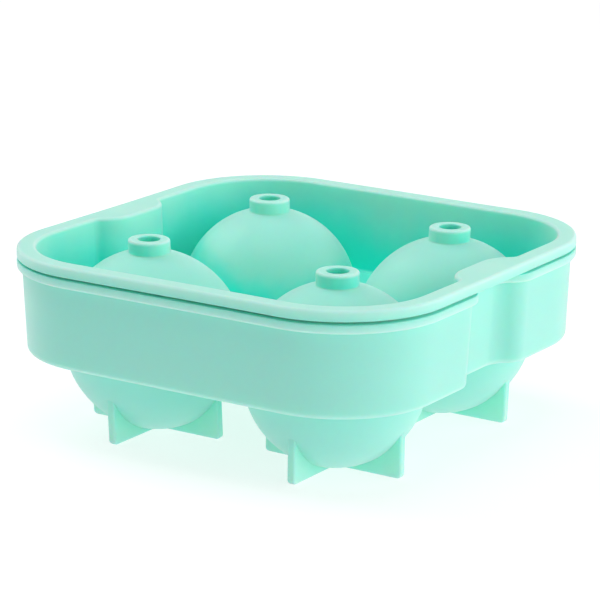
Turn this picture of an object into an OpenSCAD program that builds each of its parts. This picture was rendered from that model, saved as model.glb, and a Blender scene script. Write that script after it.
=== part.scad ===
// A two-piece silicone mould for four round ice balls.
// The tray below holds four half-round cups on finned feet. The lid above plugs into it and holds
// four half-round domes, each with a filling nozzle. Both halves meet at the parting plane, which
// is at the middle of the balls. Z = 0 is the surface that the feet stand on, and the origin is
// below the middle of the mould.

/* [Ice balls] */
// Diameter of one ice ball
ball_d = 45; // [38:0.5:50]
// Distance from a ball to the outside of the rim
ball_margin = 11.5; // [10.3:0.1:13]

/* [Outline] */
// Width of the rim, the same both ways
rim_w = 125; // [118:0.5:140]
// Corner radius of the rim in plan
rim_corner_r = 30; // [16:0.5:34]
// Draft angle of the side walls, in degrees
draft = 3; // [1:0.25:5]

/* [Tray] */
// Height of the tray's rim above the parting plane
tray_depth = 23; // [16:0.5:30]
// Thickness of the tray's side wall
tray_wall = 1.9; // [1.4:0.1:2.4]
// Thickness of the tray's flat floor between the cups
tray_plate = 2; // [1.5:0.1:3]
// Thickness of the tray's rim
tray_rim_t = 2.4; // [1.8:0.1:4]
// How far the rims stand out from the side wall
rim_overhang = 1.3; // [0.8:0.1:2.5]
// Wall thickness of the cups
cup_wall = 1.5; // [1.2:0.1:2.5]
// Radius of the tray's bottom outer edge
foot_edge_r = 1.4; // [0.5:0.1:1.9]

/* [Lid] */
// Thickness of the lid's side wall
lid_wall = 1.8; // [1.4:0.1:2.4]
// Thickness of the lid's flat floor between the domes
lid_plate = 2.4; // [2:0.1:3.5]
// Thickness of the lid's rim
lid_rim_t = 2.7; // [2.2:0.1:4]
// Wall thickness of the domes
dome_wall = 2; // [1.4:0.1:2.5]

/* [Fit of the lid in the tray] */
// Clearance between the two side walls
fit_gap = 0.25; // [0.1:0.05:0.6]
// Gap that shows between the two rims
rim_gap = 0.4; // [0.2:0.05:0.8]

/* [Thumb recesses] */
// Depth of the recess in each of two opposite sides
recess_depth = 5.2; // [4:0.1:6]
// Distance from the middle of a side to where the recess bends back out
recess_half = 9.5; // [8:0.1:14]
// Smallest bend radius where the wall turns into the recess
recess_in_r = 0.6; // [0.4:0.1:2]

/* [Filling nozzles] */
// Outer diameter of a nozzle
nozzle_d = 11.2; // [9.5:0.1:14]
// Height of a nozzle above the top of its dome
nozzle_h = 3.1; // [2:0.1:6]
// Diameter of the filling hole
fill_d = 6; // [5:0.1:7]

/* [Feet] */
// Distance from a cup's axis to the outer edge of its fins
fin_reach = 20.7; // [17:0.1:22]
// Thickness of a fin
fin_t = 2.4; // [1.6:0.1:3.5]
// How far the fins reach below the cup
fin_drop = 0.2; // [0.1:0.05:1.5]
// Radius of a fin's outer bottom corner
fin_corner_r = 1.2; // [0.6:0.1:2]

/* [Sealing beads] */
// Distance from the edge of a cup to its sealing bead
bead_inset = 1; // [0.8:0.1:1.2]
// Width of a sealing bead
bead_w = 1.4; // [1:0.1:1.6]
// Height of a sealing bead
bead_h = 1.1; // [0.6:0.05:1.3]
// Clearance between a bead and its groove in the lid
bead_gap = 0.15; // [0.1:0.05:0.2]

/* [Edges] */
// Radius of the rims' edges
rim_edge_r = 0.8; // [0.3:0.05:0.85]
// Radius of small edges, on nozzles and fins
small_edge_r = 0.6; // [0.3:0.05:0.75]
// Radius of the hollow where a cup, a dome or a wall meets its floor
root_r = 1.2; // [0.6:0.1:1.6]
// Radius of the hollow where a nozzle meets its dome
nozzle_root_r = 0.4; // [0.2:0.05:1.2]

/* [Hidden] */
$fn = 96;

silicone = [0.50, 0.87, 0.77];
arc_steps = 4;
ring_steps = 12;
// Overlap that joins one region of a moulding to the next
bite = 1;
// How far a cutting tool runs past what it cuts
past = 5;

ball_r = ball_d / 2;
cup_r = ball_r + cup_wall;
dome_r = ball_r + dome_wall;
// Distance between the centres of neighbouring balls
ball_pitch = rim_w - 2 * ball_margin - ball_d;
ball_xy = ball_pitch / 2;

// Heights
part_z = cup_r + fin_drop;
foot_z = part_z - tray_plate;
tray_top_z = part_z + tray_depth;
tray_rim_z = tray_top_z - tray_rim_t;
lid_rim_z = tray_top_z + rim_gap;
lid_top_z = lid_rim_z + lid_rim_t;
lid_floor_z = part_z + lid_plate;
nozzle_z = part_z + dome_r + nozzle_h;

// Insets of the wall faces from the rim's outline, at a height z
function tray_out(z) = rim_overhang + (tray_top_z - z) * tan(draft);
function tray_in(z) = tray_out(z) + tray_wall;
function lid_out(z) = tray_in(z) + fit_gap;
function lid_in(z) = lid_out(z) + lid_wall;
deepest = lid_in(part_z) + bite;

// On each side of its middle the recess is an S of two arcs, a scoop and a bend, that both turn by the
// larger angle of a 3-4-5 triangle
swing = atan2(4, 3);
swing_cos = 3 / 5;
swing_sin = 4 / 5;
half_w = rim_w / 2;
corner_xy = half_w - rim_corner_r;
bend_r = ceil(10 * deepest) / 10 + recess_in_r;
scoop_r = recess_depth / (1 - swing_cos) - bend_r;
scoop_y = recess_half - scoop_r * swing_sin;
bend_y = recess_half + bend_r * swing_sin;
recess_x = half_w - recess_depth;

// Points of the arc that rounds corner b between a and c with radius r
function unit(v) = v / norm(v);
function rounding(a, b, c, r) =
    let (u = unit(a - b), v = unit(c - b), half = acos(u * v) / 2, centre = b + unit(u + v) * r / sin(half),
         from = b + u * r / tan(half) - centre, to = b + v * r / tan(half) - centre,
         start = atan2(from.y, from.x), turn = atan2(to.y, to.x) - start,
         sweep = turn > 180 ? turn - 360 : turn < -180 ? turn + 360 : turn)
    [for (i = [0:arc_steps]) centre + r * [cos(start + sweep * i / arc_steps), sin(start + sweep * i / arc_steps)]];

// A closed outline from [x, y] corners and rounded [x, y, radius] corners
function rounded(corners) =
    let (n = len(corners))
    [for (i = [0:n - 1])
        let (b = corners[i], before = corners[(i + n - 1) % n], after = corners[(i + 1) % n])
        each len(b) == 2 ? [b] : rounding([before.x, before.y], [b.x, b.y], [after.x, after.y], b.z)];

function arc(centre, r, from, to, steps) =
    [for (i = [0:steps]) centre + r * [cos(from + (to - from) * i / steps), sin(from + (to - from) * i / steps)]];

// The recess in plan on the +X side, from -Y to +Y, at an inset from the rim's outline
function recess_half_points(inset) = concat(
    arc([recess_x + scoop_r, scoop_y], scoop_r + inset, 180, 180 - swing, ring_steps),
    arc([half_w - bend_r, bend_y], bend_r - inset, -swing, 0, ring_steps));
function recess_points(inset) = let (half = recess_half_points(inset), n = len(half))
    concat([for (i = [n - 1:-1:0]) [half[i].x, -half[i].y]], half);

// The outline in plan at an inset from the rim's, plain or with its two recesses
function plain_side(inset) = concat(
    arc([corner_xy, -corner_xy], rim_corner_r - inset, -90, 0, ring_steps),
    arc([corner_xy, corner_xy], rim_corner_r - inset, 0, 90, ring_steps));
function recessed_side(inset) = concat(
    arc([corner_xy, -corner_xy], rim_corner_r - inset, -90, 0, ring_steps),
    recess_points(inset),
    arc([corner_xy, corner_xy], rim_corner_r - inset, 0, 90, ring_steps));
function both_sides(side) = concat(side, [for (p = side) -p]);

// Repeats its children at the four balls
module at_balls() {
    for (x = [-ball_xy, ball_xy], y = [-ball_xy, ball_xy])
        translate([x, y, 0]) children();
}

// Runs a wall section along a straight stretch of the outline, centred at the origin
module straight(length) {
    rotate([90, 0, 0]) linear_extrude(length, center = true) children();
}

// Runs a wall section round the corners and along the two sides that have no recess
module run_round_corners() {
    for (turn = [0:90:270])
        rotate([0, 0, turn]) translate([corner_xy, corner_xy, 0])
            rotate_extrude(angle = 90) translate([rim_corner_r, 0]) children();
    for (turn = [90, 270])
        rotate([0, 0, turn]) straight(2 * corner_xy) translate([half_w, 0]) children();
}

// Runs a wall section round the plain outline, with no recess
module run_plain() {
    run_round_corners() children();
    for (turn = [0, 180])
        rotate([0, 0, turn]) straight(2 * corner_xy) translate([half_w, 0]) children();
}

// The part of a ring about a centre that lies between an aim and a level line on the side given by way
module sector(centre, aim, way) {
    reach = 2 * norm(aim - centre);
    intersection() {
        translate([centre.x, centre.y, 0]) mirror([way, 0, 0]) rotate([0, 0, 180]) children();
        translate([0, 0, -past]) linear_extrude(nozzle_z + 2 * past)
            polygon([centre, 2 * aim - centre, centre + [(1 - 2 * way) * reach, 0]]);
    }
}

// Runs a wall section from the corner to the middle of the recess on the +X side
module run_half_recess() {
    bend = [half_w - bend_r, bend_y];
    scoop = [recess_x + scoop_r, scoop_y];
    translate([0, (bend_y + corner_xy) / 2, 0])
        straight(corner_xy - bend_y) translate([half_w, 0]) children();
    sector(bend, scoop, 0) rotate_extrude() translate([bend_r, 0]) children();
    sector(scoop, bend, 1) rotate_extrude() translate([scoop_r, 0]) mirror([1, 0]) children();
}

// Runs a wall section round the outline with its two recesses
module run_recessed() {
    run_round_corners() children();
    for (x = [0, 1]) mirror([x, 0, 0]) {
        for (y = [0, 1])
            mirror([0, y, 0]) run_half_recess() children();
        straight(2 * scoop_y) translate([recess_x, 0]) children();
    }
}

// Section of the tray's wall, with its rim on top and the edge of its floor below
module tray_wall_section() {
    inner_x = -tray_in(part_z) - bite;
    polygon(rounded([
        [inner_x, foot_z],
        [-tray_out(foot_z), foot_z, foot_edge_r],
        [-tray_out(tray_rim_z), tray_rim_z],
        [0, tray_rim_z, rim_edge_r],
        [0, tray_top_z, rim_edge_r / 2],
        [-tray_in(tray_top_z), tray_top_z, rim_edge_r],
        [-tray_in(part_z), part_z, rim_edge_r],
        [inner_x, part_z]]));
}

// Section of the lid's wall, which the rim goes on and the edge of its floor joins
module lid_wall_section() {
    inner_x = -lid_in(lid_floor_z) - bite;
    polygon(rounded([
        [inner_x, part_z],
        [-lid_out(part_z), part_z, root_r],
        [-lid_out(lid_top_z), lid_top_z],
        [-lid_in(lid_top_z), lid_top_z, rim_edge_r],
        [-lid_in(lid_floor_z), lid_floor_z, root_r],
        [inner_x, lid_floor_z]]));
}

// Section of the outer edge of the lid's rim
module lid_rim_section() {
    inner_x = -lid_out(lid_rim_z) - lid_wall / 3;
    polygon(rounded([
        [inner_x, lid_rim_z],
        [0, lid_rim_z, rim_edge_r / 2],
        [0, lid_top_z, rim_edge_r],
        [inner_x, lid_top_z]]));
}

// The flat of the lid's rim. It ends inside the wall, also over the recesses, where it is what the thumbs push
module lid_rim_flat() {
    translate([0, 0, lid_rim_z]) linear_extrude(lid_rim_t) difference() {
        polygon(both_sides(plain_side(lid_out(lid_rim_z) / 2)));
        polygon(both_sides(recessed_side(lid_out(lid_rim_z) + lid_wall / 2)));
    }
}

// A flat floor that ends inside a wall, at an inset from the outline
module floor_plate(inset, bottom_z, thickness) {
    translate([0, 0, bottom_z]) linear_extrude(thickness) polygon(both_sides(recessed_side(inset)));
}

// Half of a ball shell's outside, above the parting plane
module half_ball(r) {
    intersection() {
        translate([0, 0, part_z]) sphere(r);
        translate([-r, -r, part_z]) cube([2 * r, 2 * r, r]);
    }
}

// The hollow round the foot of a half ball of radius r, on a floor that lies floor_h from the parting plane
module ball_root(r, floor_h) {
    out_r = sqrt(pow(r + root_r, 2) - pow(floor_h + root_r, 2));
    lean = atan2(floor_h + root_r, out_r);
    rotate_extrude() polygon(concat(
        arc([out_r, part_z + floor_h + root_r], root_r, 180 + lean, 270, arc_steps),
        [[out_r, part_z + floor_h - bite / 2],
         [(r - bite) * cos(lean), part_z + floor_h - bite / 2],
         [(r - bite) * cos(lean), part_z + (r - bite) * sin(lean)]]));
}

// Turns its children over at the parting plane
module below_parting() {
    translate([0, 0, 2 * part_z]) mirror([0, 0, 1]) children();
}

// One filling nozzle, with the hollow round its foot
module nozzle() {
    r = nozzle_d / 2;
    out_r = r + nozzle_root_r;
    root_z = sqrt(pow(dome_r + nozzle_root_r, 2) - out_r * out_r);
    lean = atan2(root_z, out_r);
    rotate_extrude() polygon(concat(
        [[0, part_z + ball_r],
         [(dome_r - bite) * cos(lean), part_z + (dome_r - bite) * sin(lean)]],
        arc([out_r, part_z + root_z], nozzle_root_r, 180 + lean, 180, arc_steps),
        rounding([r, part_z], [r, nozzle_z], [0, nozzle_z], small_edge_r),
        [[0, nozzle_z]]));
}

// The filling hole through a nozzle and its dome, with a rounded mouth
module fill_hole() {
    r = fill_d / 2;
    mouth_r = small_edge_r / 2;
    rotate_extrude() polygon(concat(
        [[0, part_z + ball_r / 2], [r, part_z + ball_r / 2]],
        arc([r + mouth_r, nozzle_z - mouth_r], mouth_r, 180, 90, arc_steps),
        [[r + mouth_r, nozzle_z + past], [0, nozzle_z + past]]));
}

// A sealing bead round the edge of a cup, or the groove for it when grown by a clearance
module bead(gap) {
    in_r = ball_r + bead_inset - gap;
    out_r = ball_r + bead_inset + bead_w + gap;
    top_z = part_z + bead_h + gap;
    edge_r = bead_w / 3 + gap;
    rotate_extrude() polygon(rounded([
        [in_r, part_z - bite],
        [out_r, part_z - bite],
        [out_r, top_z, edge_r],
        [in_r, top_z, edge_r]]));
}

// Two fins of a foot, in line with each other, before the cup is hollowed out
module fin_pair() {
    meet_z = part_z - sqrt(cup_r * cup_r - fin_reach * fin_reach) + cup_wall / 2;
    intersection() {
        linear_extrude(meet_z) polygon(rounded([
            [-fin_reach, -fin_t / 2, small_edge_r],
            [fin_reach, -fin_t / 2, small_edge_r],
            [fin_reach, fin_t / 2, small_edge_r],
            [-fin_reach, fin_t / 2, small_edge_r]]));
        rotate([90, 0, 0]) linear_extrude(fin_t + bite, center = true) polygon(rounded([
            [-fin_reach, 0, fin_corner_r],
            [fin_reach, 0, fin_corner_r],
            [fin_reach, meet_z],
            [-fin_reach, meet_z]]));
    }
}

// A cup's outside, with the four fins that it stands on
module cup() {
    below_parting() half_ball(cup_r);
    below_parting() ball_root(cup_r, tray_plate);
    fin_pair();
    rotate([0, 0, 90]) fin_pair();
}

// A dome's outside, with its nozzle
module dome() {
    half_ball(dome_r);
    ball_root(dome_r, lid_plate);
    nozzle();
}

module tray() color(silicone)
    difference() {
        union() {
            run_recessed() tray_wall_section();
            floor_plate(tray_out(part_z) + tray_wall / 2, foot_z, tray_plate);
            at_balls() cup();
            at_balls() bead(0);
        }
        at_balls() translate([0, 0, part_z]) sphere(ball_r);
    }

module lid() color(silicone)
    difference() {
        union() {
            run_recessed() lid_wall_section();
            run_plain() lid_rim_section();
            lid_rim_flat();
            floor_plate(lid_out(part_z) + lid_wall / 2, part_z, lid_plate);
            at_balls() dome();
        }
        at_balls() translate([0, 0, part_z]) sphere(ball_r);
        at_balls() fill_hole();
        at_balls() bead(bead_gap);
    }

tray();
lid();
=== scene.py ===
"""Silicone ice ball mould: the two mouldings, their silicone and the studio around them."""
from math import acos, atan2, ceil, cos, hypot, pi, radians, sin, sqrt, tan

import bmesh
import bpy
from bpy.props import FloatProperty, FloatVectorProperty, IntProperty, PointerProperty
from mathutils import Matrix, Vector
from mathutils.bvhtree import BVHTree


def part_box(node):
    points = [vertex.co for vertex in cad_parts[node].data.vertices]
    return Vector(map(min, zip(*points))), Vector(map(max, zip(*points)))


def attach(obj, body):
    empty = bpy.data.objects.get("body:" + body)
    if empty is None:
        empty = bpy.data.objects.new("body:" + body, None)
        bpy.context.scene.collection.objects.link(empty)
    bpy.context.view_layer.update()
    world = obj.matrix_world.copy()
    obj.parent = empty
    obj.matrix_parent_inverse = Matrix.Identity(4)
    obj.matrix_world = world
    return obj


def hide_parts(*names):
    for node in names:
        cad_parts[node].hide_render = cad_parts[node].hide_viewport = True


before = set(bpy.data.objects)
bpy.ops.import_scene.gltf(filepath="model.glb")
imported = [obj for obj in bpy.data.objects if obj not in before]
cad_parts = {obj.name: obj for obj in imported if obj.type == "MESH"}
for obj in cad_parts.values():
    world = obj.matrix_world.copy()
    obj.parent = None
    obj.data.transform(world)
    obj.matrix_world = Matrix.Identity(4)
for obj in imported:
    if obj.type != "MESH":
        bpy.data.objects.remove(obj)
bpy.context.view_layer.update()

bl_info = {
    "name": "Ice ball mould",
    "version": (1, 0, 0),
    "blender": (4, 5, 0),
    "location": "3D View > Sidebar > Ice Mould",
    "description": "Builds a two-piece silicone mould for round ice and a studio to show it in",
    "category": "Add Mesh",
}

MM = 0.001
# Points closer than this are one point
WELD = 0.002 * MM
# Angles closer than this are one angle
ANGLE_WELD = 1e-4
# Turn of a section per step along a small rounded edge
EDGE_STEP = radians(13)
# Distance from the ends of a long straight line at which a section has a further point
END_STOP = 0.4 * MM
# A line of more than this many end stops is long
LONG_LINE = 4
# Length of one step along a straight side
STRAIGHT_STEP = 4 * MM
# Steps round a bend of the recess and round a corner of the rim
BEND_STEPS = 10
CORNER_STEPS = 24
# Steps up the outside of a dome and down its inside, and down the outside and the inside of a cup
DOME_STEPS = 26
DOME_INSIDE_STEPS = 30
CUP_STEPS = 30
CUP_INSIDE_STEPS = 32
# Steps along a fin's hollow edge, so few that the rounding of its outer edge ends within the first
FIN_STEPS = 24
# Steps across a small edge of a fin
FIN_EDGE_STEPS = 4
# Turn of the rim into a thumb recess, as in a triangle with sides of 3, 4 and 5
RECESS_TURN = atan2(4, 3)
# How far the plain floor runs past the last rounded edge of a section
FLOOR_LAP = 0.3 * MM
# How far each ball's dome and cup sit off their place, and lean at the ball's top, in shares of the give
BALL_GIVES = {(-1, -1): (0.5, -1.0), (1, -1): (0.8, 0.1), (1, 1): (0.0, 0.7), (-1, 1): (0.0, -0.2)}
# Greatest bow of a side wall as a share of the give, the number of bows round the mould, and their turn
BOW_SHARE = 0.5
BOWS = 3
BOW_TURN = 0.6
# A bend by more than this is shaded as a sharp line
SHARP_BEND = radians(32)
# Directions looked in from each point to tell how open it lies, and how far they look
OPEN_LOOKS = 40
OPEN_REACH = 60 * MM
# How near the lid has to lie to a point of the tray to paint shade on it between the two parts
FACING_REACH = 3 * MM
# How near two points have to lie for their openness, or their painted edge highlight, to be mixed
OPEN_BLEND = 3 * MM
EDGE_HIGHLIGHT_BLEND = 1 * MM
# An outward bend of this radius or less counts as a full edge for the painted highlight, an inward one
# of twice that as a crease
EDGE_ROUND = 0.8 * MM
CREASE_SHARE = 0.5
# Height above the skin at which a look starts, and the shortest edge that tells a bend
SKIN_STEP = 0.1 * MM
# How much the openness that sets the painted shade changes from patch to patch
UNEVEN = 0.16
# Each lamp's place in metres and its power in watts, and the width and aim that they share
LAMPS = {
    "front_right": ((0.84, -0.84, 0.24), 1.5),
    "right": ((1.18, 0, 0.24), 4.1),
    "back_right": ((0.84, 0.84, 0.24), 5.4),
    "left_high": ((-0.85, 0, 0.88), 5.2),
    "top": ((0, -0.02, 1.23), 4.4),
}
LAMP_WIDTH = 0.9
LAMP_AIM = (0, 0, 0.03)
# Strength of the room's light on the mould, and of the white backdrop that the camera sees
ROOM_LIGHT = 0.35
WHITE = 1.0
# Half width of the floor, its grey, and its glow on the mould and as the camera sees it
FLOOR_HALF = 3
FLOOR_GREY = (0.45, 0.45, 0.45, 1)
FLOOR_GLOW = 0.55
FLOOR_GLOW_SEEN = 0.68
# Width of the camera's sensor in millimetres
SENSOR_WIDTH = 36


def height_of(node, share):
    """A height between the bottom and the top of a node's box."""
    low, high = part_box(node)
    return low[2] + share * (high[2] - low[2])


def width_of(node):
    low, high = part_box(node)
    return high[0] - low[0]


class MouldSizes(bpy.types.PropertyGroup):
    """Sizes of the two mouldings."""

    rim_width: FloatProperty(
        name="Rim width", description="Width of the rim, the same both ways",
        default=width_of("lid"), unit="LENGTH")
    corner_radius: FloatProperty(
        name="Corner radius", description="Corner radius of the rim in plan",
        default=30 * MM, unit="LENGTH")
    draft: FloatProperty(
        name="Draft", description="Draft angle of the side walls",
        default=radians(3), subtype="ANGLE")
    ball_diameter: FloatProperty(
        name="Ball diameter", description="Diameter of one ice ball",
        default=45 * MM, unit="LENGTH")
    ball_margin: FloatProperty(
        name="Ball margin", description="Distance from a ball to the outside of the rim",
        default=11.5 * MM, unit="LENGTH")
    parting_height: FloatProperty(
        name="Parting height", description="Height at which the two halves meet",
        default=height_of("lid", 0), unit="LENGTH")
    tray_top: FloatProperty(
        name="Tray top", description="Height of the tray's rim",
        default=height_of("tray", 1), unit="LENGTH")
    tray_rim: FloatProperty(
        name="Tray rim", description="Thickness of the tray's rim",
        default=2.4 * MM, unit="LENGTH")
    tray_wall: FloatProperty(
        name="Tray wall", description="Thickness of the tray's side wall",
        default=1.9 * MM, unit="LENGTH")
    tray_floor: FloatProperty(
        name="Tray floor", description="Thickness of the tray's flat floor",
        default=2 * MM, unit="LENGTH")
    cup_wall: FloatProperty(
        name="Cup wall", description="Wall thickness of the cups",
        default=1.5 * MM, unit="LENGTH")
    foot_edge: FloatProperty(
        name="Bottom edge", description="Radius of the tray's bottom outer edge",
        default=1.4 * MM, unit="LENGTH")
    overhang: FloatProperty(
        name="Overhang", description="How far the rims stand out from the side wall",
        default=1.3 * MM, unit="LENGTH")
    rim_gap: FloatProperty(
        name="Rim gap", description="Gap that shows between the two rims",
        default=0.4 * MM, unit="LENGTH")
    fit_gap: FloatProperty(
        name="Fit gap", description="Clearance between the two side walls",
        default=0.25 * MM, unit="LENGTH")
    lid_rim: FloatProperty(
        name="Lid rim", description="Thickness of the lid's rim",
        default=2.7 * MM, unit="LENGTH")
    lid_wall: FloatProperty(
        name="Lid wall", description="Thickness of the lid's side wall",
        default=1.8 * MM, unit="LENGTH")
    lid_floor: FloatProperty(
        name="Lid floor", description="Thickness of the lid's flat floor",
        default=2.4 * MM, unit="LENGTH")
    dome_wall: FloatProperty(
        name="Dome wall", description="Wall thickness of the domes",
        default=2 * MM, unit="LENGTH")
    recess_depth: FloatProperty(
        name="Recess depth", description="Depth of the thumb recess in two opposite sides",
        default=5.2 * MM, unit="LENGTH")
    recess_half: FloatProperty(
        name="Recess half width",
        description="Distance from the middle of a side to where the recess bends out",
        default=9.5 * MM, unit="LENGTH")
    bend_radius: FloatProperty(
        name="Bend radius", description="Radius of the rim's bend into the recess",
        default=8.1 * MM, unit="LENGTH")
    nozzle_diameter: FloatProperty(
        name="Nozzle diameter", description="Outer diameter of a filling nozzle",
        default=11.2 * MM, unit="LENGTH")
    nozzle_top: FloatProperty(
        name="Nozzle top", description="Height of the nozzles' tops",
        default=height_of("lid", 1), unit="LENGTH")
    hole_diameter: FloatProperty(
        name="Hole diameter", description="Diameter of a filling hole",
        default=6 * MM, unit="LENGTH")
    fin_reach: FloatProperty(
        name="Fin reach", description="Distance from a cup's axis to the outer edge of its fins",
        default=20.7 * MM, unit="LENGTH")
    fin_thickness: FloatProperty(
        name="Fin thickness", description="Thickness of a fin",
        default=2.4 * MM, unit="LENGTH")
    fin_corner: FloatProperty(
        name="Fin corner", description="Radius of a fin's outer bottom corner",
        default=1.2 * MM, unit="LENGTH")
    bead_inset: FloatProperty(
        name="Bead inset", description="Distance from the edge of a cup to its sealing bead",
        default=1 * MM, unit="LENGTH")
    bead_width: FloatProperty(
        name="Bead width", description="Width of a sealing bead",
        default=1.4 * MM, unit="LENGTH")
    bead_height: FloatProperty(
        name="Bead height", description="Height of a sealing bead",
        default=1.1 * MM, unit="LENGTH")
    bead_gap: FloatProperty(
        name="Bead gap", description="Clearance between a bead and its groove in the lid",
        default=0.15 * MM, unit="LENGTH")
    rim_edge: FloatProperty(
        name="Rim edge", description="Radius of the rims' edges",
        default=0.8 * MM, unit="LENGTH")
    small_edge: FloatProperty(
        name="Small edge", description="Radius of small edges, on nozzles and fins",
        default=0.6 * MM, unit="LENGTH")
    root: FloatProperty(
        name="Root radius",
        description="Radius of the hollow where a cup, a dome or a wall meets its floor",
        default=1.2 * MM, unit="LENGTH")
    nozzle_root: FloatProperty(
        name="Nozzle root", description="Radius of the hollow where a nozzle meets its dome",
        default=0.4 * MM, unit="LENGTH")
    give: FloatProperty(
        name="Give", description="How far the soft mould gives way from its true shape",
        default=1 * MM, unit="LENGTH")
    give_side: FloatProperty(
        name="Give direction", description="Direction in plan in which the balls lean",
        default=radians(32.69), subtype="ANGLE")
    rim_lift: FloatProperty(
        name="Rim lift",
        description="How far the lid's rim rises at the corner where it is least pressed down",
        default=0.35 * MM, unit="LENGTH")
    round_steps: IntProperty(
        name="Steps round a ball", description="Number of steps round a cup or dome",
        default=128)


class SiliconeFinish(bpy.types.PropertyGroup):
    """Look of the silicone."""

    # The silicone's own colour, shown where it lies open
    colour: FloatVectorProperty(
        name="Colour",
        description="Colour of the silicone where it lies open, under its pale bloom",
        subtype="COLOR", size=3, default=(0.33, 0.90, 0.74))
    # Painted shade: a deeper, more saturated colour painted where the mould is sheltered, standing in
    # for its shade and the light that bounces and soaks through there
    painted_shade_colour: FloatVectorProperty(
        name="Deep colour",
        description="Colour of the silicone in sheltered places, where the bloom is thin",
        subtype="COLOR", size=3, default=(0.0, 0.95, 0.77))
    # Painted highlight: a paler colour painted on small outer edges, standing in for the light they
    # catch
    edge_highlight_colour: FloatVectorProperty(
        name="Edge colour",
        description="Colour of small outer edges, where light scatters back out soonest",
        subtype="COLOR", size=3, default=(0.55, 0.92, 0.81))
    # Openness between these two blends the painted shade into the open colour
    shelter_start: FloatProperty(
        name="Sheltered", description="Openness at which the deep colour is full", default=0.29,
        subtype="FACTOR")
    shelter_end: FloatProperty(
        name="Open", description="Openness at which the bloom is full", default=0.66, subtype="FACTOR")
    roughness: FloatProperty(
        name="Roughness", description="Roughness of the satin skin", default=0.46, subtype="FACTOR")
    glow: FloatProperty(
        name="Glow depth", description="How deep light soaks into the silicone",
        default=3 * MM, unit="LENGTH")


class StudioPlan(bpy.types.PropertyGroup):
    """Camera and light of the studio."""

    azimuth: FloatProperty(
        name="Azimuth", description="Angle of the camera round the mould", default=radians(32.69),
        subtype="ANGLE")
    elevation: FloatProperty(
        name="Elevation", description="Angle of the camera above the mould", default=radians(15.37),
        subtype="ANGLE")
    roll: FloatProperty(
        name="Roll", description="Turn of the camera about its own axis", default=radians(0.67),
        subtype="ANGLE")
    distance: FloatProperty(
        name="Distance", description="Distance from the camera to its aim", default=810.6 * MM,
        unit="LENGTH")
    aim_height: FloatProperty(
        name="Aim height", description="Height of the point that the camera looks at",
        default=33.1 * MM, unit="LENGTH")
    focal_length: FloatProperty(
        name="Focal length", description="Focal length of the camera's lens in millimetres",
        default=181.07)


def sizes():
    return bpy.context.scene.mould_sizes


# Heights and insets that follow from the sizes


def ball_radius():
    return sizes().ball_diameter / 2


def ball_place():
    """Distance of a ball's axis from the middle of the mould, both ways."""
    return sizes().rim_width / 2 - sizes().ball_margin - ball_radius()


def tray_out(z):
    """Inset of the tray's outer wall face from the rim's outline."""
    return sizes().overhang + (sizes().tray_top - z) * tan(sizes().draft)


def tray_in(z):
    return tray_out(z) + sizes().tray_wall


def lid_out(z):
    return tray_in(z) + sizes().fit_gap


def lid_in(z):
    return lid_out(z) + sizes().lid_wall


class Pen:
    """Draws a section in the XZ plane as a chain of bmesh edges."""

    def __init__(self, bm, x, z, end_stop=END_STOP):
        self.bm = bm
        self.end_stop = end_stop
        self.tip = bmesh.ops.create_vert(bm, co=(x, 0, z))["vert"][0]
        self.verts = [self.tip]

    def line(self, x, z):
        """Goes straight to a point. A long line has a further point end_stop from each end, if not 0."""
        start, end = self.tip.co.copy(), Vector((x, 0, z))
        length = (end - start).length
        if length < WELD:
            return
        margin = self.end_stop / length
        stops = [margin, 1 - margin, 1] if 0 < margin < 1 / LONG_LINE else [1]
        for share in stops:
            new = bmesh.ops.extrude_vert_indiv(self.bm, verts=[self.tip])["verts"][0]
            new.co = start.lerp(end, share)
            self.tip = new
            self.verts.append(new)

    def turn(self, x, z, angle, steps=None):
        """Goes round a centre by an angle, anticlockwise when X points right and Z up."""
        steps = steps or max(2, ceil(abs(angle) / EDGE_STEP))
        for step in range(steps):
            done = bmesh.ops.spin(
                self.bm, geom=[self.tip], cent=(x, 0, z), axis=(0, -1, 0), angle=angle / steps, steps=1)
            self.tip = [g for g in done["geom_last"] if isinstance(g, bmesh.types.BMVert)][0]
            self.verts.append(self.tip)

    def corner(self, x, z, radius, to_x, to_z):
        """Goes to a rounded corner and round it, towards the next point."""
        back = (self.tip.co.x - x, self.tip.co.z - z)
        ahead = (to_x - x, to_z - z)
        back = (back[0] / hypot(*back), back[1] / hypot(*back))
        ahead = (ahead[0] / hypot(*ahead), ahead[1] / hypot(*ahead))
        half = acos(back[0] * ahead[0] + back[1] * ahead[1]) / 2
        middle = (back[0] + ahead[0], back[1] + ahead[1])
        reach = radius / sin(half) / hypot(*middle)
        side = back[0] * ahead[1] - back[1] * ahead[0]
        self.line(x + back[0] * radius / tan(half), z + back[1] * radius / tan(half))
        turning = pi - 2 * half
        self.turn(x + middle[0] * reach, z + middle[1] * reach, -turning if side > 0 else turning)

    def through(self, corners, end):
        """Goes through rounded corners (x, z, radius) to an end point (x, z)."""
        stops = [corner[:2] for corner in corners[1:]] + [end]
        for (x, z, radius), ahead in zip(corners, stops):
            self.corner(x, z, radius, *ahead)
        self.line(*end)


def edges_between(verts):
    chosen = set(verts)
    return list({e for v in chosen for e in v.link_edges if e.other_vert(v) in chosen})


def carry(bm, edges, shift):
    """Draws edges out along a straight line in short steps and gives the edges at its end."""
    steps = ceil(Vector(shift).length / STRAIGHT_STEP)
    for step in range(steps):
        made = bmesh.ops.extrude_edge_only(bm, edges=edges)["geom"]
        verts = [g for g in made if isinstance(g, bmesh.types.BMVert)]
        bmesh.ops.translate(bm, vec=Vector(shift) / steps, verts=verts)
        edges = edges_between(verts)
    return edges


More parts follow.
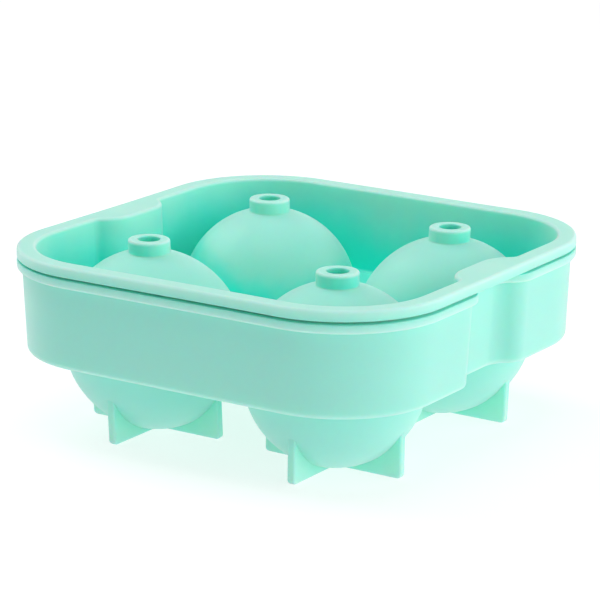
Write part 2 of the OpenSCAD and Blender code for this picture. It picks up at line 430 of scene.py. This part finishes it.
def swing(bm, edges, centre, angle, steps):
    """Draws edges round an upright axis and gives the edges at the end."""
    verts = {v for e in edges for v in e.verts}
    made = bmesh.ops.spin(
        bm, geom=edges + list(verts), cent=centre, axis=(0, 0, 1), angle=angle, steps=steps)
    return [g for g in made["geom_last"] if isinstance(g, bmesh.types.BMEdge)]


def recess_plan():
    """Place of a thumb recess's middle, and the centres of the two arcs on one side of it."""
    s = sizes()
    half = s.rim_width / 2
    rise = sin(RECESS_TURN)
    scoop_radius = s.recess_depth / (1 - cos(RECESS_TURN)) - s.bend_radius
    return {
        "middle_x": half - s.recess_depth,
        "scoop": (half - s.recess_depth + scoop_radius, s.recess_half - scoop_radius * rise),
        "scoop_radius": scoop_radius,
        "bend": (half - s.bend_radius, s.recess_half + s.bend_radius * rise),
    }


def sweep_wall(bm, draw):
    """Draws a wall's section round a quarter of the rim's outline, recess included."""
    plan = recess_plan()
    corner = sizes().rim_width / 2 - sizes().corner_radius
    pen = draw(bm, plan["middle_x"])
    edges = edges_between(pen.verts)
    edges = carry(bm, edges, (0, plan["scoop"][1], 0))
    edges = swing(bm, edges, (*plan["scoop"], 0), -RECESS_TURN, BEND_STEPS)
    edges = swing(bm, edges, (*plan["bend"], 0), RECESS_TURN, BEND_STEPS)
    edges = carry(bm, edges, (0, corner - plan["bend"][1], 0))
    edges = swing(bm, edges, (corner, corner, 0), pi / 2, CORNER_STEPS)
    carry(bm, edges, (-corner, 0, 0))


def mirror_quarter(bm):
    for axis in ("X", "Y"):
        bmesh.ops.mirror(bm, geom=bm.verts[:] + bm.edges[:] + bm.faces[:], merge_dist=WELD, axis=axis)
        bmesh.ops.remove_doubles(bm, verts=bm.verts[:], dist=WELD)


def straighten_ledge(bm, is_rim):
    """Brings the rim's outer part over the recess out to the straight side, where thumbs push it."""
    plan = recess_plan()
    half = sizes().rim_width / 2
    scoop_x, scoop_y = plan["scoop"]
    bend_x, bend_y = plan["bend"]
    for v in bm.verts:
        if v.co.y >= bend_y - WELD or v.co.x < 0:
            continue
        if v.co.y <= scoop_y + WELD:
            inset, along = plan["middle_x"] - v.co.x, v.co.y
        else:
            around_scoop = hypot(v.co.x - scoop_x, v.co.y - scoop_y)
            lean = atan2(v.co.y - scoop_y, scoop_x - v.co.x)
            if lean < RECESS_TURN + ANGLE_WELD:
                inset = around_scoop - plan["scoop_radius"]
                along = scoop_y + plan["scoop_radius"] * sin(lean)
            else:
                around_bend = hypot(v.co.x - bend_x, v.co.y - bend_y)
                lean = atan2(bend_y - v.co.y, v.co.x - bend_x)
                inset = sizes().bend_radius - around_bend
                along = bend_y - sizes().bend_radius * sin(lean)
        if is_rim(inset, v.co.z):
            v.co.x = half - inset
            v.co.y = along


def spin_at_balls(bm, pens):
    """Spins sections round a ball's axis and sets the result at each of the four balls."""
    verts = [v for pen in pens for v in pen.verts]
    bmesh.ops.spin(
        bm, geom=verts + edges_between(verts), cent=(0, 0, 0), axis=(0, 0, 1), angle=2 * pi,
        steps=sizes().round_steps, use_merge=True)
    bmesh.ops.remove_doubles(bm, verts=bm.verts[:], dist=WELD)
    place_at_balls(bm)


def ball_give(side_x, side_y):
    """How the soft mould lets one ball's dome, cup and feet lean out and sit off their place."""
    shift, lean = (share * sizes().give for share in BALL_GIVES[side_x, side_y])
    across = Vector((cos(sizes().give_side), sin(sizes().give_side), 0))
    tilt = Matrix.Identity(4)
    for axis in range(2):
        tilt[axis][2] = across[axis] * lean / ball_radius()
        tilt[axis][3] = across[axis] * (shift - lean * sizes().parting_height / ball_radius())
    return tilt


def place_at_balls(bm):
    """Copies everything in a bmesh to the four balls."""
    first = bm.verts[:] + bm.edges[:] + bm.faces[:]
    place = ball_place()
    for side_x, side_y in ((-1, -1), (1, -1), (-1, 1), (1, 1)):
        last = (side_x, side_y) == (1, 1)
        geom = first if last else bmesh.ops.duplicate(bm, geom=first)["geom"]
        verts = [g for g in geom if isinstance(g, bmesh.types.BMVert)]
        where = Matrix.Translation((side_x * place, side_y * place, 0)) @ ball_give(side_x, side_y)
        bmesh.ops.transform(bm, matrix=where, verts=verts)


def relax_wall(bm, rim, lift):
    """Bows a side wall in a little here and there, and lets its rim rise at the front right corner."""
    s = sizes()
    for v in bm.verts:
        height = max(0, (v.co.z - s.parting_height) / (rim - s.parting_height))
        round_z = atan2(v.co.y, v.co.x)
        bow = s.give * BOW_SHARE * height * (1 - cos(BOWS * round_z + BOW_TURN)) / 2
        v.co.xy -= v.co.xy.normalized() * bow
        v.co.z += lift * height ** 4 * (1 + cos(round_z + pi / 4)) / 2


def fill_floor(bm, z):
    """Fills the flat between the wall and the four balls at a height."""
    edges = [e for e in bm.edges if e.is_boundary and all(abs(v.co.z - z) < WELD for v in e.verts)]
    bmesh.ops.triangle_fill(bm, use_beauty=True, use_dissolve=False, edges=edges, normal=(0, 0, 1))


def arc_end(radius, angle, centre_z):
    return radius * cos(angle), centre_z + radius * sin(angle)


def tray_section(bm, outline_x):
    """The tray's wall, from its floor up the inside, round the rim and down to the underside."""
    s = sizes()
    top, floor, under = s.tray_top, s.parting_height, s.parting_height - s.tray_floor
    rim = top - s.tray_rim
    pen = Pen(bm, outline_x - tray_in(floor) - s.rim_edge - FLOOR_LAP, floor)
    pen.through([
        (outline_x - tray_in(floor), floor, s.rim_edge),
        (outline_x - tray_in(top), top, s.rim_edge),
        (outline_x, top, s.rim_edge / 2),
        (outline_x, rim, s.rim_edge),
        (outline_x - tray_out(rim), rim, s.rim_edge / 3),
        (outline_x - tray_out(under), under, s.foot_edge)],
        (outline_x - tray_out(under) - s.foot_edge - FLOOR_LAP, under))
    return pen


def lid_section(bm, outline_x):
    """The lid's wall, from its floor up the inside, round the rim and down to the parting plane."""
    s = sizes()
    rim = s.tray_top + s.rim_gap
    top, under = rim + s.lid_rim, s.parting_height
    floor = under + s.lid_floor
    pen = Pen(bm, outline_x - lid_in(floor) - s.root - FLOOR_LAP, floor)
    pen.through([
        (outline_x - lid_in(floor), floor, s.root),
        (outline_x - lid_in(top), top, s.rim_edge),
        (outline_x, top, s.rim_edge),
        (outline_x, rim, s.rim_edge / 2),
        (outline_x - lid_out(rim), rim, s.rim_edge / 3),
        (outline_x - lid_out(under), under, s.root)],
        (outline_x - lid_out(under) - s.root - FLOOR_LAP, under))
    return pen


def ball_arc(pen, radius, start, end, steps):
    """Continues a section along a ball's surface, between two angles above the parting plane."""
    pen.line(*arc_end(radius, start, sizes().parting_height))
    pen.turn(0, sizes().parting_height, end - start, steps)


def draw_bead(pen, gap, outwards):
    """Continues a section over a sealing bead, or through its groove when grown by a gap."""
    s = sizes()
    inner = ball_radius() + s.bead_inset - gap
    outer = ball_radius() + s.bead_inset + s.bead_width + gap
    near, far = (inner, outer) if outwards else (outer, inner)
    top = s.parting_height + s.bead_height + gap
    edge = s.bead_width / 3 + gap
    pen.line(near, s.parting_height)
    pen.through([(near, top, edge), (far, top, edge)], (far, s.parting_height))


def dome_section(bm):
    """A dome with its nozzle, from the lid's floor over the top, down the hole and down the inside."""
    s = sizes()
    parting = s.parting_height
    outer = ball_radius() + s.dome_wall
    nozzle, hole = s.nozzle_diameter / 2, s.hole_diameter / 2
    foot_r = sqrt((outer + s.root) ** 2 - (s.lid_floor + s.root) ** 2)
    foot_lean = atan2(s.lid_floor + s.root, foot_r)
    neck_r = nozzle + s.nozzle_root
    neck_z = sqrt((outer + s.nozzle_root) ** 2 - neck_r ** 2)
    neck_lean = atan2(neck_z, neck_r)
    mouth_lean = acos(hole / ball_radius())
    pen = Pen(bm, foot_r + FLOOR_LAP, parting + s.lid_floor)
    pen.line(foot_r, parting + s.lid_floor)
    pen.turn(foot_r, parting + s.lid_floor + s.root, -(pi / 2 - foot_lean))
    pen.turn(0, parting, neck_lean - foot_lean, DOME_STEPS)
    pen.turn(neck_r, parting + neck_z, -neck_lean)
    pen.through([
        (nozzle, s.nozzle_top, s.small_edge),
        (hole, s.nozzle_top, s.small_edge / 2)],
        (hole, s.nozzle_top - hole))
    ball_arc(pen, ball_radius(), mouth_lean, 0, DOME_INSIDE_STEPS)
    draw_bead(pen, s.bead_gap, outwards=True)
    pen.line(ball_radius() + s.bead_inset + s.bead_width + s.bead_gap + FLOOR_LAP, parting)
    return pen


def cup_sections(bm):
    """The inside of a cup with its bead, and its outside, both from the tray's floor to the pole."""
    s = sizes()
    parting = s.parting_height
    outer = ball_radius() + s.cup_wall
    foot_r = sqrt((outer + s.root) ** 2 - (s.tray_floor + s.root) ** 2)
    foot_lean = atan2(s.tray_floor + s.root, foot_r)
    inside = Pen(bm, ball_radius() + s.bead_inset + s.bead_width + FLOOR_LAP, parting)
    draw_bead(inside, 0, outwards=False)
    ball_arc(inside, ball_radius(), 0, -pi / 2, CUP_INSIDE_STEPS)
    outside = Pen(bm, foot_r + FLOOR_LAP, parting - s.tray_floor)
    outside.line(foot_r, parting - s.tray_floor)
    outside.turn(foot_r, parting - s.tray_floor - s.root, pi / 2 - foot_lean)
    outside.turn(0, parting, foot_lean - pi / 2, CUP_STEPS)
    return [inside, outside]


def fin_pair(bm):
    """Two fins in line, one crescent that is buried in the wall of its cup."""
    s = sizes()
    parting, reach = s.parting_height, s.fin_reach
    buried = ball_radius() + s.cup_wall / 2
    lean = acos(reach / buried)
    top = parting - buried * sin(lean)
    pen = Pen(bm, -reach, top, end_stop=0)
    pen.through([(-reach, 0, s.fin_corner), (reach, 0, s.fin_corner)], (reach, top))
    pen.turn(0, parting, -(pi - 2 * lean), FIN_STEPS)
    bmesh.ops.remove_doubles(bm, verts=bm.verts[:], dist=WELD)
    bmesh.ops.holes_fill(bm, edges=bm.edges[:], sides=0)
    bmesh.ops.translate(bm, vec=(0, -s.fin_thickness / 2, 0), verts=bm.verts[:])
    made = bmesh.ops.extrude_face_region(bm, geom=bm.faces[:])["geom"]
    bmesh.ops.translate(
        bm, vec=(0, s.fin_thickness, 0), verts=[g for g in made if isinstance(g, bmesh.types.BMVert)])
    bmesh.ops.recalc_face_normals(bm, faces=bm.faces[:])
    rims = []
    for e in bm.edges:
        middle = (e.verts[0].co + e.verts[1].co) / 2
        along_a_side = abs(middle.y - e.verts[0].co.y) < WELD
        if along_a_side and hypot(middle.x, middle.z - parting) > buried + WELD:
            rims.append(e)
    bmesh.ops.bevel(
        bm, geom=rims, offset=s.small_edge, offset_type="OFFSET", segments=FIN_EDGE_STEPS, profile=0.5,
        affect="EDGES", material=-1, clamp_overlap=True)


def new_object(name, bm):
    """Makes a bmesh an object at the origin."""
    mesh = bpy.data.meshes.new(name)
    bm.to_mesh(mesh)
    bm.free()
    piece = bpy.data.objects.new(name, mesh)
    bpy.context.scene.collection.objects.link(piece)
    return piece


def join_into(bm, other):
    """Adds one bmesh to another."""
    mesh = bpy.data.meshes.new("joining")
    other.to_mesh(mesh)
    other.free()
    bm.from_mesh(mesh)
    bpy.data.meshes.remove(mesh)


def close_shell(bm):
    bmesh.ops.remove_doubles(bm, verts=bm.verts[:], dist=WELD)
    bmesh.ops.dissolve_degenerate(bm, dist=WELD, edges=bm.edges[:])
    bmesh.ops.recalc_face_normals(bm, faces=bm.faces[:])
    open_edges = [e for e in bm.edges if not e.is_manifold]
    if open_edges:
        where = open_edges[0].verts[0].co
        raise RuntimeError(f"{len(open_edges)} edges of a moulding are open, such as at {where}")


def soften(piece, crease):
    """Shades a piece smoothly, with a sharp line only where it bends by more than crease."""
    bm = bmesh.new()
    bm.from_mesh(piece.data)
    for face in bm.faces:
        face.smooth = True
    for edge in bm.edges:
        edge.smooth = edge.is_manifold and edge.calc_face_angle() < crease
    bm.to_mesh(piece.data)
    bm.free()
    weigh = piece.modifiers.new("Flat floors", "WEIGHTED_NORMAL")
    weigh.keep_sharp = True
    weigh.mode = "FACE_AREA"


def look_directions():
    """Directions spread over the half sphere above a surface, denser towards its normal."""
    golden = pi * (3 - sqrt(5))
    looks = []
    for step in range(OPEN_LOOKS):
        share = (step + 0.5) / OPEN_LOOKS
        across = sqrt(share)
        look = (across * cos(golden * step), across * sin(golden * step), sqrt(1 - share))
        looks.append(Vector(look))
    return looks


def note_openness(piece, partner=None):
    """Keeps at each point of a moulding how much of the room around it is open, which sets where shade
    is painted.

    Its own shape closes it off from afar, and a partner only where the two face each other closely, so
    that shade is painted between the two parts.
    """
    bm = bmesh.new()
    bm.from_mesh(piece.data)
    bm.verts.layers.float.new("openness")
    edge_highlight_layer = bm.verts.layers.float.new("edge")
    open_layer = bm.verts.layers.float["openness"]
    bm.normal_update()
    bm.verts.index_update()
    own = BVHTree.FromBMesh(bm)
    near_by = bmesh.new()
    if partner:
        near_by.from_mesh(partner.data)
    other = BVHTree.FromBMesh(near_by)
    near_by.free()
    looks = look_directions()
    openness = []
    for v in bm.verts:
        turn = v.normal.to_track_quat("Z", "Y").to_matrix()
        start = v.co + v.normal * SKIN_STEP
        clear = 0
        for look in looks:
            ahead = turn @ look
            if own.ray_cast(start, ahead, OPEN_REACH)[0] is None:
                clear += other.ray_cast(start, ahead, FACING_REACH)[0] is None
        openness.append(clear / OPEN_LOOKS)
    # Openness sets where shade is painted, edge sharpness where the edge highlight is painted
    spread_note(bm, open_layer, openness, OPEN_BLEND)
    spread_note(bm, edge_highlight_layer, [edge_sharpness(v) for v in bm.verts], EDGE_HIGHLIGHT_BLEND)
    bm.to_mesh(piece.data)
    bm.free()


def edge_sharpness(v):
    """How sharply the skin bends outwards at a point: 1 on an edge rounded by EDGE_ROUND or less.

    A point in a crease counts as no edge, whichever way the skin bends along it.
    """
    bends = [0]
    for e in v.link_edges:
        along = e.other_vert(v).co - v.co
        if along.length > SKIN_STEP:
            bends.append(-2 * v.normal.dot(along) / along.length_squared)
    in_crease = min(bends) * EDGE_ROUND < -CREASE_SHARE
    return 0 if in_crease else min(1, max(bends) * EDGE_ROUND)


def spread_note(bm, layer, values, reach):
    """Writes values to the points of a bmesh, each mixed with those of its near neighbours."""
    for v in bm.verts:
        near = [values[e.other_vert(v).index] for e in v.link_edges if e.calc_length() < reach]
        v[layer] = (values[v.index] + sum(near)) / (1 + len(near))


def build_lid():
    s = sizes()
    rim = s.tray_top + s.rim_gap
    bm = bmesh.new()
    sweep_wall(bm, lid_section)
    wall_face = lid_out(rim)
    straighten_ledge(bm, lambda inset, z: z > rim - WELD and inset < wall_face - s.rim_edge / 3 - WELD)
    mirror_quarter(bm)
    relax_wall(bm, rim, s.rim_lift)
    domes = bmesh.new()
    spin_at_balls(domes, [dome_section(domes)])
    join_into(bm, domes)
    fill_floor(bm, s.parting_height + s.lid_floor)
    fill_floor(bm, s.parting_height)
    close_shell(bm)
    return new_object("lid_silicone", bm)


def build_tray():
    s = sizes()
    bm = bmesh.new()
    sweep_wall(bm, tray_section)
    mirror_quarter(bm)
    relax_wall(bm, s.tray_top, 0)
    cups = bmesh.new()
    spin_at_balls(cups, cup_sections(cups))
    join_into(bm, cups)
    fill_floor(bm, s.parting_height)
    fill_floor(bm, s.parting_height - s.tray_floor)
    close_shell(bm)
    tray = new_object("tray_silicone", bm)
    for turned in (0, pi / 2):
        fins = bmesh.new()
        fin_pair(fins)
        bmesh.ops.triangulate(fins, faces=fins.faces[:])
        bmesh.ops.rotate(
            fins, cent=(0, 0, 0), matrix=Matrix.Rotation(turned, 3, "Z"), verts=fins.verts[:])
        place_at_balls(fins)
        unite(tray, new_object("feet", fins))
    return tray


def unite(piece, other):
    """Joins another object to a piece as one closed skin, and removes it."""
    join = piece.modifiers.new("Join", "BOOLEAN")
    join.operation = "UNION"
    join.solver = "MANIFOLD"
    join.object = other
    bpy.context.view_layer.update()
    joined = bpy.data.meshes.new_from_object(piece.evaluated_get(bpy.context.evaluated_depsgraph_get()))
    piece.modifiers.clear()
    piece.data = joined
    bpy.data.objects.remove(other)


class Nodes:
    """Short calls for building a node tree."""

    def __init__(self, tree):
        self.tree = tree
        tree.nodes.clear()

    def add(self, kind, inputs=(), **settings):
        node = self.tree.nodes.new(kind)
        for name, value in settings.items():
            setattr(node, name, value)
        for name, value in dict(inputs).items():
            if isinstance(value, bpy.types.NodeSocket):
                self.tree.links.new(value, node.inputs[name])
            else:
                node.inputs[name].default_value = value
        return node


def silicone_material():
    """Matte, faintly translucent silicone with a powdery skin, painted shade in sheltered places and a
    painted highlight on small outer edges.
    """
    finish = bpy.context.scene.silicone_finish
    material = bpy.data.materials.new("satin_silicone")
    material.use_nodes = True
    n = Nodes(material.node_tree)
    where = n.add("ShaderNodeTexCoord").outputs["Object"]
    drift = n.add("ShaderNodeTexNoise", {"Vector": where, "Scale": 38.0, "Detail": 3.0})
    # Painted shade: the deep colour is painted where the mould is sheltered, blended by its openness and
    # patchy noise into the open colour
    openness = n.add("ShaderNodeAttribute", attribute_name="openness")
    uneven = n.add("ShaderNodeMath", {
        0: drift.outputs["Fac"], 1: UNEVEN, 2: openness.outputs["Fac"]}, operation="MULTIPLY_ADD")
    bloom = n.add("ShaderNodeMapRange", {
        "Value": uneven.outputs["Value"], "From Min": finish.shelter_start + UNEVEN / 2,
        "From Max": finish.shelter_end + UNEVEN / 2}, interpolation_type="SMOOTHSTEP")
    body = n.add("ShaderNodeMix", {
        "Factor": bloom.outputs["Result"],
        "A": (*finish.painted_shade_colour, 1), "B": (*finish.colour, 1)}, data_type="RGBA")
    # Painted highlight: the paler edge colour is painted on small outer edges
    edge = n.add("ShaderNodeAttribute", attribute_name="edge")
    colour = n.add("ShaderNodeMix", {
        "Factor": edge.outputs["Fac"], "A": body.outputs["Result"], "B": (*finish.edge_highlight_colour, 1)},
        data_type="RGBA")
    patches = n.add("ShaderNodeTexNoise", {
        "Vector": where, "Scale": 90.0, "Detail": 3.0, "Roughness": 0.6})
    roughness = n.add("ShaderNodeMapRange", {
        "Value": patches.outputs["Fac"], "From Min": 0.3, "From Max": 0.7,
        "To Min": finish.roughness - 0.05, "To Max": finish.roughness + 0.05})
    grain = n.add("ShaderNodeTexNoise", {"Vector": where, "Scale": 3200.0, "Detail": 2.0})
    swell = n.add("ShaderNodeTexNoise", {"Vector": where, "Scale": 60.0, "Detail": 1.0})
    soft = n.add("ShaderNodeBump", {
        "Height": swell.outputs["Fac"], "Strength": 0.25, "Distance": 0.4 * MM})
    fine = n.add("ShaderNodeBump", {
        "Height": grain.outputs["Fac"], "Strength": 0.25, "Distance": 0.02 * MM,
        "Normal": soft.outputs["Normal"]})
    skin = n.add("ShaderNodeBsdfPrincipled", {
        "Base Color": colour.outputs["Result"], "Roughness": roughness.outputs["Result"],
        "IOR": 1.45, "Subsurface Weight": 0.6, "Subsurface Radius": (0.1, 1.0, 0.7),
        "Subsurface Scale": finish.glow, "Sheen Weight": 0.4, "Sheen Roughness": 0.5,
        "Normal": fine.outputs["Normal"]})
    n.add("ShaderNodeOutputMaterial", {"Surface": skin.outputs["BSDF"]})
    return material


def dress(piece, body, node):
    """Gives a moulding its silicone and puts it in its place in the frame."""
    material = bpy.data.materials.get("satin_silicone") or silicone_material()
    piece.data.materials.clear()
    piece.data.materials.append(material)
    soften(piece, SHARP_BEND)
    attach(piece, body)
    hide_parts(node)


class ICEMOULD_OT_tray(bpy.types.Operator):
    """Builds the tray with its cups and finned feet"""

    bl_idname = "icemould.tray"
    bl_label = "Build the tray"

    def execute(self, context):
        dress(build_tray(), "tray", "tray")
        return {"FINISHED"}


class ICEMOULD_OT_lid(bpy.types.Operator):
    """Builds the lid with its domes and filling nozzles"""

    bl_idname = "icemould.lid"
    bl_label = "Build the lid"

    def execute(self, context):
        dress(build_lid(), "lid", "lid")
        return {"FINISHED"}


class ICEMOULD_OT_painted_light(bpy.types.Operator):
    """Notes how open each point of the mould lies and how sharp its edges are, which set the painted
    shade and the painted edge highlight
    """

    bl_idname = "icemould.bloom"
    bl_label = "Spread the bloom"

    def execute(self, context):
        tray, lid = bpy.data.objects["tray_silicone"], bpy.data.objects["lid_silicone"]
        # The lid paints shade on the tray where the two face each other closely
        note_openness(tray, lid)
        note_openness(lid)
        return {"FINISHED"}


def camera_axes(plan):
    """Direction from the aim to the camera, and the camera's right and up."""
    level = cos(plan.elevation)
    back = Vector((sin(plan.azimuth) * level, -cos(plan.azimuth) * level, sin(plan.elevation)))
    right = Vector((cos(plan.azimuth), sin(plan.azimuth), 0))
    up = back.cross(right)
    turned_right = right * cos(plan.roll) + up * sin(plan.roll)
    return back, turned_right, back.cross(turned_right)


def add_camera():
    plan = bpy.context.scene.studio_plan
    back, right, up = camera_axes(plan)
    lens = bpy.data.cameras.new("camera")
    lens.sensor_fit = "HORIZONTAL"
    lens.sensor_width = SENSOR_WIDTH
    lens.lens = plan.focal_length
    lens.clip_start = 0.01
    lens.clip_end = 20
    camera = bpy.data.objects.new("camera", lens)
    camera.matrix_world = Matrix((right, up, back)).transposed().to_4x4()
    camera.location = Vector((0, 0, plan.aim_height)) + back * plan.distance
    bpy.context.scene.collection.objects.link(camera)
    bpy.context.scene.camera = camera


def add_lamp(name, place, power):
    lamp = bpy.data.lights.new(name, "AREA")
    lamp.shape = "DISK"
    lamp.size = LAMP_WIDTH
    lamp.energy = power
    holder = bpy.data.objects.new(name, lamp)
    holder.location = place
    holder.rotation_euler = (Vector(place) - Vector(LAMP_AIM)).to_track_quat("Z", "Y").to_euler()
    bpy.context.scene.collection.objects.link(holder)


def backdrop_rays(n):
    """Rays that see the floor and the room as a white backdrop: the camera's and the reflected ones."""
    path = n.add("ShaderNodeLightPath")
    mirrored = n.add("ShaderNodeMath", {
        0: path.outputs["Is Camera Ray"], 1: path.outputs["Is Glossy Ray"]}, operation="MAXIMUM")
    seen = n.add("ShaderNodeMath", {
        0: mirrored.outputs["Value"], 1: path.outputs["Is Transmission Ray"]}, operation="MAXIMUM")
    return seen.outputs["Value"]


def add_floor():
    bm = bmesh.new()
    bmesh.ops.create_grid(bm, x_segments=1, y_segments=1, size=FLOOR_HALF)
    floor = new_object("floor", bm)
    material = bpy.data.materials.new("floor")
    material.use_nodes = True
    n = Nodes(material.node_tree)
    paper = n.add("ShaderNodeBsdfDiffuse", {"Color": FLOOR_GREY})
    glow = n.add("ShaderNodeMapRange", {
        "Value": backdrop_rays(n), "To Min": FLOOR_GLOW, "To Max": FLOOR_GLOW_SEEN})
    table = n.add("ShaderNodeEmission", {"Strength": glow.outputs["Result"]})
    both = n.add("ShaderNodeAddShader", {0: paper.outputs[0], 1: table.outputs[0]})
    n.add("ShaderNodeOutputMaterial", {"Surface": both.outputs[0]})
    floor.data.materials.append(material)


def light_world():
    """An even pale room, which the camera sees as white."""
    world = bpy.data.worlds.new("studio")
    world.use_nodes = True
    bpy.context.scene.world = world
    n = Nodes(world.node_tree)
    room = n.add("ShaderNodeBackground", {"Strength": ROOM_LIGHT})
    white = n.add("ShaderNodeBackground", {"Strength": WHITE})
    choice = n.add("ShaderNodeMixShader", {
        0: backdrop_rays(n), 1: room.outputs[0], 2: white.outputs[0]})
    n.add("ShaderNodeOutputWorld", {"Surface": choice.outputs[0]})


class ICEMOULD_OT_stage(bpy.types.Operator):
    """Sets up the camera, the floor and the light"""

    bl_idname = "icemould.stage"
    bl_label = "Set up the studio"

    def execute(self, context):
        context.scene.view_settings.view_transform = "Standard"
        add_camera()
        add_floor()
        light_world()
        for name, (place, power) in LAMPS.items():
            add_lamp(name, place, power)
        return {"FINISHED"}


class ICEMOULD_PT_panel(bpy.types.Panel):
    """Lists the mould's pieces and its studio"""

    bl_idname = "ICEMOULD_PT_panel"
    bl_label = "Ice Mould"
    bl_space_type = "VIEW_3D"
    bl_region_type = "UI"
    bl_category = "Ice Mould"

    def draw(self, context):
        scene = context.scene
        for group in (scene.mould_sizes, scene.silicone_finish, scene.studio_plan):
            box = self.layout.box()
            for name in group.__annotations__:
                box.prop(group, name)
        for operator in OPERATORS:
            self.layout.operator(operator.bl_idname)


OPERATORS = (ICEMOULD_OT_tray, ICEMOULD_OT_lid, ICEMOULD_OT_painted_light, ICEMOULD_OT_stage)
CLASSES = (MouldSizes, SiliconeFinish, StudioPlan, *OPERATORS, ICEMOULD_PT_panel)


def register():
    for each in CLASSES:
        bpy.utils.register_class(each)
    bpy.types.Scene.mould_sizes = PointerProperty(type=MouldSizes)
    bpy.types.Scene.silicone_finish = PointerProperty(type=SiliconeFinish)
    bpy.types.Scene.studio_plan = PointerProperty(type=StudioPlan)


def unregister():
    del bpy.types.Scene.studio_plan
    del bpy.types.Scene.silicone_finish
    del bpy.types.Scene.mould_sizes
    for each in reversed(CLASSES):
        bpy.utils.unregister_class(each)


def main():
    register()
    bpy.ops.icemould.stage()
    bpy.ops.icemould.tray()
    bpy.ops.icemould.lid()
    bpy.ops.icemould.bloom()


if __name__ == "__main__":
    main()
